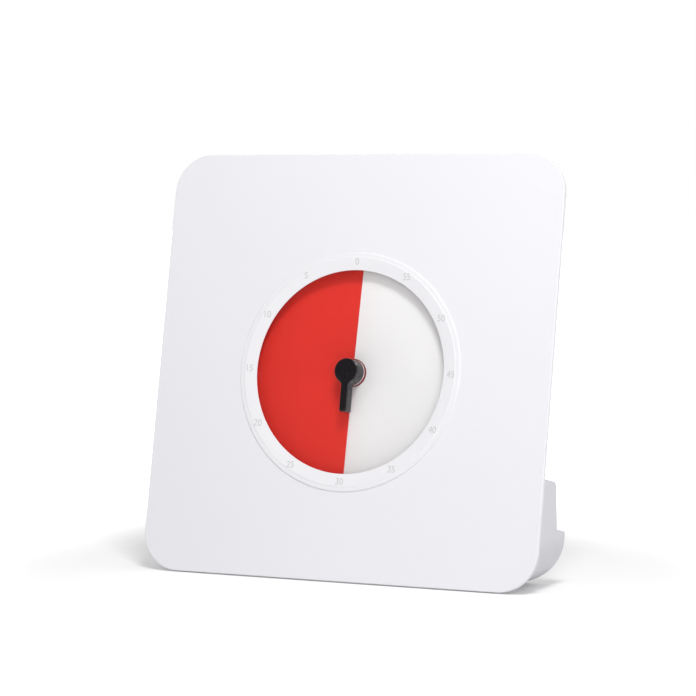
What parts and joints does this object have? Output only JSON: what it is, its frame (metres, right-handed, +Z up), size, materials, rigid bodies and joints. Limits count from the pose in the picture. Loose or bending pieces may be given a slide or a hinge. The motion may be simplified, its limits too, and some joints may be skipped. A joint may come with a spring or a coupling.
{
  "type": "visual countdown timer",
  "caption": "Free-standing square white board timer with a round dial, a red disc that shrinks as time runs, a black pointer knob and a rear stand.",
  "frame": {"origin": "middle of the footprint box, on the surface that the feet stand on", "axes": "+Z up; the dial faces -Y, leaning back by the board tilt; +X to the right seen from the front"},
  "size_m": [0.3, 0.0706, 0.2951],
  "materials": {
    "bearing_brass": "turned brass",
    "board_white": "satin white, slightly cool",
    "case_white": "satin white",
    "cell_jacket": "plain printed jacket",
    "circuit_green": "green laminate",
    "coil_copper": "enamelled copper winding",
    "collar_white": "white moulding",
    "disc_red": "matt signal red film",
    "face_white": "matt white",
    "foot_rubber": "grey rubber",
    "gear_plastic": "natural acetal",
    "hub_red": "dark red moulding",
    "knob_black": "black satin moulding",
    "movement_black": "black moulding",
    "ring_white": "satin white",
    "sounder_brass": "brass disc",
    "stand_white": "satin white",
    "steel": "plain steel",
    "switch_grey": "grey moulding",
    "window_clear": "clear acrylic"
  },
  "bodies": {
    "housing": {"arbor_bushing": "bearing_brass", "base_plate": "stand_white", "battery": "cell_jacket", "battery_tray": "movement_black", "case_screws": "steel", "circuit_board": "circuit_green", "contact_plate": "steel", "contact_spring": "steel", "cover_screws": "steel", "dial_case": "case_white", "dial_lens": "window_clear", "dial_ring": "ring_white", "face_disc": "face_white", "feet": "foot_rubber", "front_panel": "board_white", "motor_coil": "coil_copper", "motor_stator": "steel", "movement_case": "movement_black", "movement_plate": "movement_black", "movement_screws": "steel", "rear_cover": "case_white", "sounder": "sounder_brass", "stand_screws": "steel", "stand_shell": "stand_white"},
    "knob_set": {"knob": "knob_black", "hub_collar": "collar_white", "film_hub": "hub_red", "arbor": "steel", "drive_gear": "gear_plastic", "clutch_spring": "steel"},
    "red_disc": {"time_disc": "disc_red"},
    "intermediate_wheel": {"intermediate_gear": "gear_plastic"},
    "second_wheel": {"second_gear": "gear_plastic"},
    "rotor_wheel": {"rotor": "gear_plastic"},
    "door": {"battery_door": "case_white"},
    "switch": {"sound_switch": "switch_grey"}
  },
  "joints": [
    {"name": "knob_turn", "type": "hinge", "parent": "housing", "child": "knob_set", "pos_m": [0, -0.00713, 0.14402], "axis": [0, -0.981, 0.1942], "range_deg": [-180, 180]},
    {"name": "disc_thread", "type": "slide", "parent": "knob_set", "child": "red_disc", "axis": [0, -0.981, 0.1942], "range_m": [-0.00092, 0.00092]},
    {"name": "intermediate_turn", "type": "hinge", "parent": "housing", "child": "intermediate_wheel", "pos_m": [-0.00743, -0.00569, 0.15131], "axis": [0, -0.981, 0.1942], "range_deg": [-1081, 1081]},
    {"name": "second_turn", "type": "hinge", "parent": "housing", "child": "second_wheel", "pos_m": [-0.01642, -0.00569, 0.15131], "axis": [0, -0.981, 0.1942], "range_deg": [-5401, 5401]},
    {"name": "rotor_turn", "type": "hinge", "parent": "housing", "child": "rotor_wheel", "pos_m": [-0.01642, -0.00743, 0.14248], "axis": [0, -0.981, 0.1942], "range_deg": [-27001, 27001]},
    {"name": "door_slide", "type": "slide", "parent": "housing", "child": "door", "axis": [0, -0.1942, -0.981], "range_m": [0, 0.02]},
    {"name": "switch_slide", "type": "slide", "parent": "housing", "child": "switch", "axis": [1, 0, 0], "range_m": [0, 0.004]}
  ],
  "couplings": [
    {"joint": "disc_thread", "follows": "knob_turn", "m_per_rad": 0.00028648},
    {"joint": "intermediate_turn", "follows": "knob_turn", "ratio": -6},
    {"joint": "second_turn", "follows": "knob_turn", "ratio": 30},
    {"joint": "rotor_turn", "follows": "knob_turn", "ratio": -150}
  ]
}
